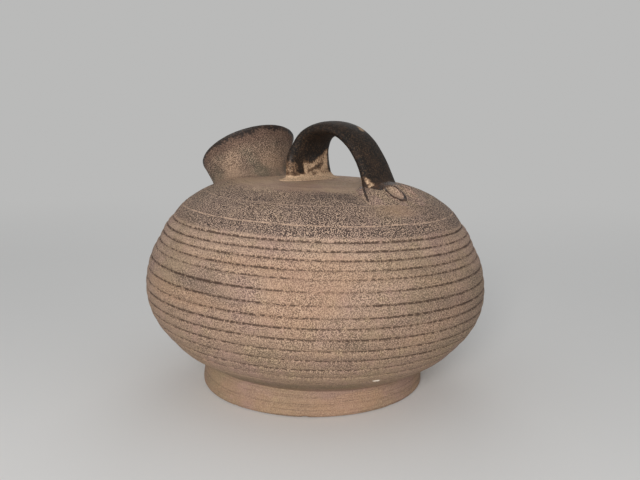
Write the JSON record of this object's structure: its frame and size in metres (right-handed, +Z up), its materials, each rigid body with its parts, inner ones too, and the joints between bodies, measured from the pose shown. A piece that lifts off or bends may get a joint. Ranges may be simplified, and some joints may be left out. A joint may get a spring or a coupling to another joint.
{
  "type": "chamber pot",
  "caption": "Squat ribbed stoneware pot on a foot ring, closed over by a low dome with a slanted flared spout and a glazed strap handle.",
  "frame": {"origin": "on the ground under the centre of the widest ring", "axes": "+Z up, +X along the handle away from the spout, +Y to the left of that"},
  "size_m": [0.2157, 0.2156, 0.1665],
  "materials": {
    "foot_clay": "matt, bare fired clay",
    "body_clay": "matt, speckled salt-dry stoneware",
    "wiped_clay": "matt, wiped clay",
    "lip_glaze": "thin brown glaze, darkest at the lip",
    "dark_glaze": "glossy brown-black glaze with rusty patches"
  },
  "bodies": {
    "root": {"foot_ring": "foot_clay", "lower_bowl": "body_clay", "shoulder_dome": "body_clay", "spout": "lip_glaze", "spout_luting": "wiped_clay", "handle_strap": "dark_glaze", "front_handle_luting": "dark_glaze", "rear_handle_pad": "wiped_clay"}
  },
  "joints": []
}
